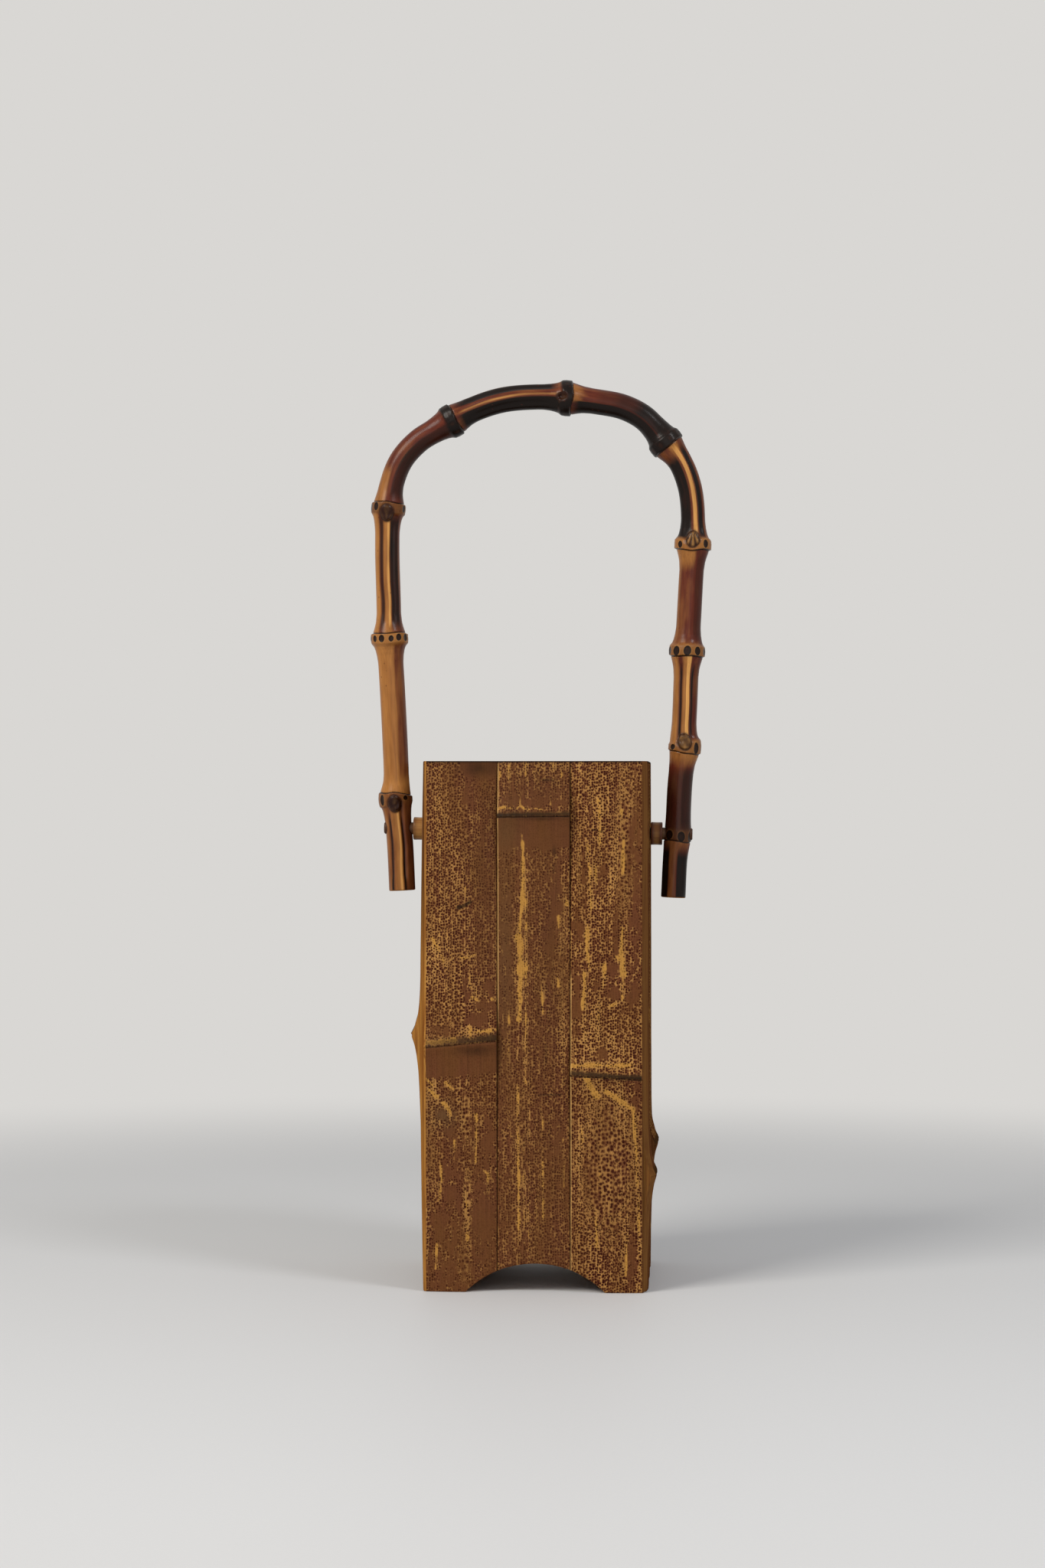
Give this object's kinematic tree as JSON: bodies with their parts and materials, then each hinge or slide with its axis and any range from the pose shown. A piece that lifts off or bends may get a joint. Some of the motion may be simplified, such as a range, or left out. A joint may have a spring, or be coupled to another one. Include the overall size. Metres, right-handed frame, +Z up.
{
  "type": "bamboo flower vase with handle",
  "caption": "Square vase of bamboo planks on an arched foot, with a rhizome handle that swings on pegs and a lift-out bamboo tube that holds water for flower stems.",
  "frame": {"origin": "on the table plane, under the middle of the box", "axes": "+Z up; the front with its foot arch faces -Y; +X to the right, seen from the front"},
  "size_m": [0.1569, 0.1105, 0.4114],
  "materials": {
    "spotted_bamboo": "spotted, smoked and oiled culm skin, satin",
    "cedar": "planed, bare",
    "tube_bamboo": "natural culm, dried",
    "rhizome": "scorched and polished, glossy",
    "sleeve_bamboo": "natural culm skin, satin",
    "peg_bamboo": "whittled, oiled"
  },
  "bodies": {
    "box": {"front_plank_left": "spotted_bamboo", "front_plank_centre": "spotted_bamboo", "front_plank_right": "spotted_bamboo", "right_plank_front": "spotted_bamboo", "right_plank_middle": "spotted_bamboo", "right_plank_back": "spotted_bamboo", "back_plank_right": "spotted_bamboo", "back_plank_centre": "spotted_bamboo", "back_plank_left": "spotted_bamboo", "left_plank_back": "spotted_bamboo", "left_plank_middle": "spotted_bamboo", "left_plank_front": "spotted_bamboo", "floor_board": "cedar", "front_cleat": "cedar", "back_cleat": "cedar", "left_cleat": "cedar", "right_cleat": "cedar", "left_sleeve": "sleeve_bamboo", "right_sleeve": "sleeve_bamboo", "left_peg": "peg_bamboo", "right_peg": "peg_bamboo"},
    "handle": {"handle": "rhizome"},
    "water_tube": {"water_tube": "tube_bamboo"}
  },
  "joints": [
    {"name": "handle_swing", "type": "hinge", "parent": "box", "child": "handle", "pos_m": [0, 0, 0.2042], "axis": [0.9998, 0, -0.0203], "range_deg": [-150, 150]},
    {"name": "water_lift", "type": "slide", "parent": "box", "child": "water_tube", "axis": [0, 0, 1], "range_m": [0, 0.21]}
  ]
}
